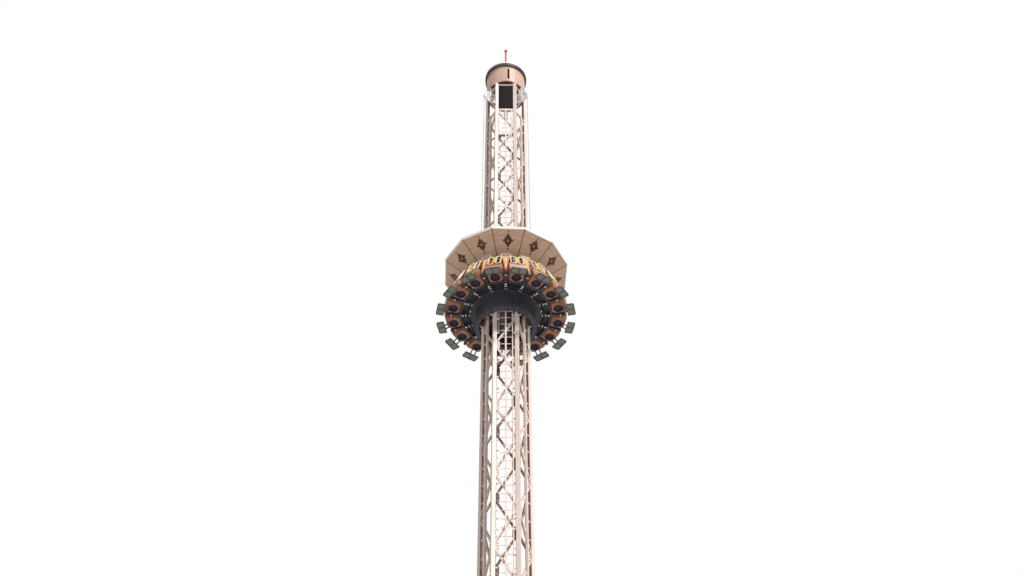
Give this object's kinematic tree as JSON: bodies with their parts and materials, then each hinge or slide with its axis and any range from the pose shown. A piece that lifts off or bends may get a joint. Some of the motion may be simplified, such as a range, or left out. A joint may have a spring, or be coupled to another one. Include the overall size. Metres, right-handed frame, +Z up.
{
  "type": "drop tower ride with a turning gondola, scale model 1:2",
  "caption": "Half-size drop tower: hexagonal lattice tower with rope sheaves and a round head, a lift car and a turning seat ring under a twelve-sided canopy.",
  "frame": {"origin": "on the ground at the tower's axis, on the base frame's flat underside", "axes": "+Z up along the tower; -Y towards the side seen from the front, +X to that viewer's right"},
  "size_m": [2.5946, 2.5946, 26.89],
  "materials": {
    "sand_paint": "satin paint, sun-bleached",
    "roof_dark": "matt dark paint",
    "mast_red": "gloss red paint",
    "sheave_white": "white paint",
    "rope_steel": "greased wire rope",
    "frame_dark": "matt near-black paint",
    "roller_steel": "worn bright steel",
    "shell_orange": "moulded glass-fibre, satin",
    "divider_orange": "moulded glass-fibre, satin",
    "housing_brown": "satin brown paint",
    "plate_grey": "fine tread",
    "panel_brown": null,
    "rim_white": "white paint",
    "restraint_yellow": "padded tube"
  },
  "bodies": {
    "tower": {"base_frame": "sand_paint", "columns": "sand_paint", "bracing_1": "sand_paint", "bracing_2": "sand_paint", "bracing_3": "sand_paint", "bracing_4": "sand_paint", "bracing_5": "sand_paint", "bracing_6": "sand_paint", "ladder": "sand_paint", "side_rails": "sand_paint", "head_beams": "sand_paint", "head_drum": "sand_paint", "head_roof": "roof_dark", "mast": "mast_red", "lamp": "mast_red", "sheave_brackets": "sheave_white", "winch_ropes": "rope_steel", "lift_ropes": "rope_steel"},
    "lift_car": {"car_frame": "frame_dark", "car_panels": "frame_dark", "guide_rollers": "roller_steel"},
    "gondola": {"gondola_ring": "frame_dark", "seat_arms": "frame_dark", "gondola_deck": "frame_dark", "seat_shells": "shell_orange", "seat_backs": "shell_orange", "seat_dividers": "divider_orange", "hinge_ring": "housing_brown", "footrests": "frame_dark", "foot_plates": "plate_grey", "canopy_frame": "frame_dark", "canopy_panels": "panel_brown", "canopy_rim": "rim_white"},
    "sheave_1": {"sheave_1": "sheave_white"},
    "sheave_2": {"sheave_2": "sheave_white"},
    "sheave_3": {"sheave_3": "sheave_white"},
    "restraint_01": {"restraint_01": "restraint_yellow"},
    "restraint_02": {"restraint_02": "restraint_yellow"},
    "restraint_03": {"restraint_03": "restraint_yellow"},
    "restraint_04": {"restraint_04": "restraint_yellow"},
    "restraint_05": {"restraint_05": "restraint_yellow"},
    "restraint_06": {"restraint_06": "restraint_yellow"},
    "restraint_07": {"restraint_07": "restraint_yellow"},
    "restraint_08": {"restraint_08": "restraint_yellow"},
    "restraint_09": {"restraint_09": "restraint_yellow"},
    "restraint_10": {"restraint_10": "restraint_yellow"},
    "restraint_11": {"restraint_11": "restraint_yellow"},
    "restraint_12": {"restraint_12": "restraint_yellow"},
    "restraint_13": {"restraint_13": "restraint_yellow"},
    "restraint_14": {"restraint_14": "restraint_yellow"},
    "restraint_15": {"restraint_15": "restraint_yellow"},
    "restraint_16": {"restraint_16": "restraint_yellow"}
  },
  "joints": [
    {"name": "lift", "type": "slide", "parent": "tower", "child": "lift_car", "axis": [0, 0, 1], "range_m": [-17.3, 5], "deforming": ["lift_ropes"]},
    {"name": "gondola_turn", "type": "hinge", "parent": "lift_car", "child": "gondola", "pos_m": [0, 0, 17.95], "axis": [0, 0, 1], "continuous": true},
    {"name": "sheave_1_turn", "type": "hinge", "parent": "tower", "child": "sheave_1", "pos_m": [0.33602, -0.194, 24.66], "axis": [-0.5, -0.866, 0], "continuous": true},
    {"name": "sheave_2_turn", "type": "hinge", "parent": "tower", "child": "sheave_2", "pos_m": [0, 0.388, 24.66], "axis": [1, 0, 0], "continuous": true},
    {"name": "sheave_3_turn", "type": "hinge", "parent": "tower", "child": "sheave_3", "pos_m": [-0.33602, -0.194, 24.66], "axis": [-0.5, 0.866, 0], "continuous": true},
    {"name": "restraint_01_hinge", "type": "hinge", "parent": "gondola", "child": "restraint_01", "pos_m": [0.17656, -0.88761, 18.512], "axis": [-0.9808, -0.1951, 0], "range_deg": [0, 95]},
    {"name": "restraint_02_hinge", "type": "hinge", "parent": "gondola", "child": "restraint_02", "pos_m": [0.50279, -0.75248, 18.512], "axis": [-0.8315, -0.5556, 0], "range_deg": [0, 95]},
    {"name": "restraint_03_hinge", "type": "hinge", "parent": "gondola", "child": "restraint_03", "pos_m": [0.75248, -0.50279, 18.512], "axis": [-0.5556, -0.8315, 0], "range_deg": [0, 95]},
    {"name": "restraint_04_hinge", "type": "hinge", "parent": "gondola", "child": "restraint_04", "pos_m": [0.88761, -0.17656, 18.512], "axis": [-0.1951, -0.9808, 0], "range_deg": [0, 95]},
    {"name": "restraint_05_hinge", "type": "hinge", "parent": "gondola", "child": "restraint_05", "pos_m": [0.88761, 0.17656, 18.512], "axis": [0.1951, -0.9808, 0], "range_deg": [0, 95]},
    {"name": "restraint_06_hinge", "type": "hinge", "parent": "gondola", "child": "restraint_06", "pos_m": [0.75248, 0.50279, 18.512], "axis": [0.5556, -0.8315, 0], "range_deg": [0, 95]},
    {"name": "restraint_07_hinge", "type": "hinge", "parent": "gondola", "child": "restraint_07", "pos_m": [0.50279, 0.75248, 18.512], "axis": [0.8315, -0.5556, 0], "range_deg": [0, 95]},
    {"name": "restraint_08_hinge", "type": "hinge", "parent": "gondola", "child": "restraint_08", "pos_m": [0.17656, 0.88761, 18.512], "axis": [0.9808, -0.1951, 0], "range_deg": [0, 95]},
    {"name": "restraint_09_hinge", "type": "hinge", "parent": "gondola", "child": "restraint_09", "pos_m": [-0.17656, 0.88761, 18.512], "axis": [0.9808, 0.1951, 0], "range_deg": [0, 95]},
    {"name": "restraint_10_hinge", "type": "hinge", "parent": "gondola", "child": "restraint_10", "pos_m": [-0.50279, 0.75248, 18.512], "axis": [0.8315, 0.5556, 0], "range_deg": [0, 95]},
    {"name": "restraint_11_hinge", "type": "hinge", "parent": "gondola", "child": "restraint_11", "pos_m": [-0.75248, 0.50279, 18.512], "axis": [0.5556, 0.8315, 0], "range_deg": [0, 95]},
    {"name": "restraint_12_hinge", "type": "hinge", "parent": "gondola", "child": "restraint_12", "pos_m": [-0.88761, 0.17656, 18.512], "axis": [0.1951, 0.9808, 0], "range_deg": [0, 95]},
    {"name": "restraint_13_hinge", "type": "hinge", "parent": "gondola", "child": "restraint_13", "pos_m": [-0.88761, -0.17656, 18.512], "axis": [-0.1951, 0.9808, 0], "range_deg": [0, 95]},
    {"name": "restraint_14_hinge", "type": "hinge", "parent": "gondola", "child": "restraint_14", "pos_m": [-0.75248, -0.50279, 18.512], "axis": [-0.5556, 0.8315, 0], "range_deg": [0, 95]},
    {"name": "restraint_15_hinge", "type": "hinge", "parent": "gondola", "child": "restraint_15", "pos_m": [-0.50279, -0.75248, 18.512], "axis": [-0.8315, 0.5556, 0], "range_deg": [0, 95]},
    {"name": "restraint_16_hinge", "type": "hinge", "parent": "gondola", "child": "restraint_16", "pos_m": [-0.17656, -0.88761, 18.512], "axis": [-0.9808, 0.1951, 0], "range_deg": [0, 95]}
  ],
  "couplings": [
    {"joint": "sheave_1_turn", "follows": "lift", "rad_per_m": 6.0606},
    {"joint": "sheave_2_turn", "follows": "lift", "rad_per_m": 6.0606},
    {"joint": "sheave_3_turn", "follows": "lift", "rad_per_m": 6.0606},
    {"joint": "restraint_02_hinge", "follows": "restraint_01_hinge", "ratio": 1},
    {"joint": "restraint_03_hinge", "follows": "restraint_01_hinge", "ratio": 1},
    {"joint": "restraint_04_hinge", "follows": "restraint_01_hinge", "ratio": 1},
    {"joint": "restraint_05_hinge", "follows": "restraint_01_hinge", "ratio": 1},
    {"joint": "restraint_06_hinge", "follows": "restraint_01_hinge", "ratio": 1},
    {"joint": "restraint_07_hinge", "follows": "restraint_01_hinge", "ratio": 1},
    {"joint": "restraint_08_hinge", "follows": "restraint_01_hinge", "ratio": 1},
    {"joint": "restraint_09_hinge", "follows": "restraint_01_hinge", "ratio": 1},
    {"joint": "restraint_10_hinge", "follows": "restraint_01_hinge", "ratio": 1},
    {"joint": "restraint_11_hinge", "follows": "restraint_01_hinge", "ratio": 1},
    {"joint": "restraint_12_hinge", "follows": "restraint_01_hinge", "ratio": 1},
    {"joint": "restraint_13_hinge", "follows": "restraint_01_hinge", "ratio": 1},
    {"joint": "restraint_14_hinge", "follows": "restraint_01_hinge", "ratio": 1},
    {"joint": "restraint_15_hinge", "follows": "restraint_01_hinge", "ratio": 1},
    {"joint": "restraint_16_hinge", "follows": "restraint_01_hinge", "ratio": 1}
  ]
}
